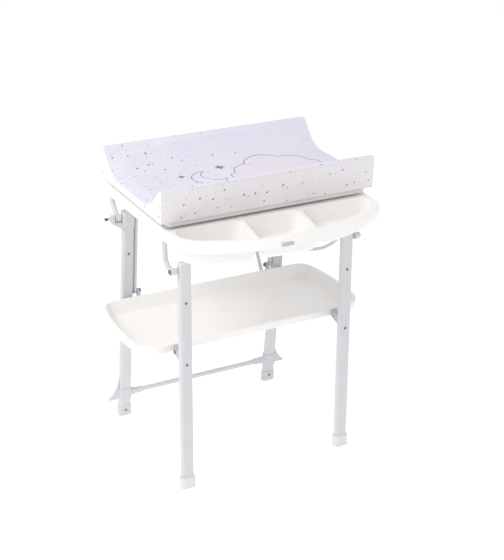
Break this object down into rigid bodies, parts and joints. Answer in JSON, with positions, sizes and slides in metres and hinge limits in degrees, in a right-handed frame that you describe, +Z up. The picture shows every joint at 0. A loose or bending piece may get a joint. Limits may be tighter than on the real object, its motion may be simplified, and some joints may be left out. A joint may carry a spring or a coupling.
{
  "type": "baby changing table",
  "caption": "Folding changing table with a tub under a lift-up padded mat, front compartments, a shelf tray and oval tube legs.",
  "frame": {"origin": "on the floor, under the middle of the whole outline", "axes": "+Z up, -Y to the front where the compartments are, +X to the right seen from the front"},
  "size_m": [0.904, 0.7458, 1.103],
  "materials": {
    "leg_steel": "satin powder coat",
    "tub_plastic": "moulded, satin gloss",
    "tray_plastic": "moulded, satin gloss",
    "foot_plastic": "moulded",
    "bracket_plastic": "moulded",
    "mat_vinyl": "printed vinyl over foam",
    "board_laminate": "laminated board",
    "buffer_rubber": "moulded",
    "button_plastic": "moulded",
    "drain_plastic": "moulded",
    "hose_vinyl": "extruded",
    "zinc_steel": "zinc plated"
  },
  "bodies": {
    "rear_frame": {"rear_leg_left": "leg_steel", "rear_leg_right": "leg_steel", "rear_foot_cap_left": "foot_plastic", "rear_foot_cap_right": "foot_plastic", "rear_top_bracket_left": "foot_plastic", "rear_top_bracket_right": "foot_plastic", "fin_bracket_left": "foot_plastic", "fin_bracket_right": "foot_plastic", "tray_hanger_left": "leg_steel", "tray_hanger_right": "leg_steel", "rear_top_rod": "zinc_steel", "rear_crossbar": "leg_steel", "rear_brace": "leg_steel", "tray_rear_pins": "zinc_steel", "rear_leg_screws": "zinc_steel"},
    "top_frame": {"side_rail_left": "leg_steel", "side_rail_right": "leg_steel", "mat_hinge_bracket_left": "zinc_steel", "mat_hinge_bracket_right": "zinc_steel", "rail_saddles": "foot_plastic", "tub": "tub_plastic", "drain_fitting": "drain_plastic", "drain_hose": "hose_vinyl", "hose_nozzle": "drain_plastic", "hose_clip": "bracket_plastic", "rim_badge": "tub_plastic", "tub_screws": "zinc_steel", "mat_hinge_pins": "zinc_steel"},
    "front_frame": {"front_leg_left": "leg_steel", "front_leg_right": "leg_steel", "front_foot_cap_left": "foot_plastic", "front_foot_cap_right": "foot_plastic", "front_leg_plug_left": "foot_plastic", "front_leg_plug_right": "foot_plastic", "tray_front_bracket_left": "bracket_plastic", "tray_front_bracket_right": "bracket_plastic", "front_pivot_bolts": "zinc_steel", "front_spacers": "bracket_plastic", "tray_front_pins": "zinc_steel", "front_leg_screws": "zinc_steel"},
    "tray": {"lower_tray": "tray_plastic", "tray_rear_ear_left": "bracket_plastic", "tray_rear_ear_right": "bracket_plastic", "tray_front_ear_left": "bracket_plastic", "tray_front_ear_right": "bracket_plastic"},
    "mat": {"mat_board": "board_laminate", "changing_mat": "mat_vinyl", "board_bumpers": "buffer_rubber", "mat_hinge_leaf_left": "zinc_steel", "mat_hinge_leaf_right": "zinc_steel"},
    "drain_plug": {"drain_plug": "drain_plastic"},
    "button_left": {"release_button_left": "button_plastic"},
    "button_right": {"release_button_right": "button_plastic"}
  },
  "joints": [
    {"name": "fold", "type": "hinge", "parent": "rear_frame", "child": "top_frame", "pos_m": [0, 0.29413, 0.836], "axis": [-1, 0, 0], "range_deg": [0, 60]},
    {"name": "front_legs_fold", "type": "hinge", "parent": "top_frame", "child": "front_frame", "pos_m": [0, -0.15453, 0.815], "axis": [-1, 0, 0], "range_deg": [-60, 0]},
    {"name": "tray_fold", "type": "hinge", "parent": "rear_frame", "child": "tray", "pos_m": [0, 0.31799, 0.527], "axis": [-1, 0, 0], "range_deg": [0, 60]},
    {"name": "mat_lift", "type": "hinge", "parent": "top_frame", "child": "mat", "pos_m": [0, 0.31968, 0.9695], "axis": [-1, 0, 0], "range_deg": [0, 95]},
    {"name": "plug_pull", "type": "slide", "parent": "top_frame", "child": "drain_plug", "axis": [0, 0, 1], "range_m": [0, 0.03]},
    {"name": "button_left_press", "type": "slide", "parent": "rear_frame", "child": "button_left", "axis": [1, 0, 0], "range_m": [0, 0.004], "stiffness_N_per_m": 500},
    {"name": "button_right_press", "type": "slide", "parent": "rear_frame", "child": "button_right", "axis": [-1, 0, 0], "range_m": [0, 0.004], "stiffness_N_per_m": 500}
  ],
  "couplings": [
    {"joint": "front_legs_fold", "follows": "fold", "ratio": -1},
    {"joint": "tray_fold", "follows": "fold", "ratio": 1}
  ]
}
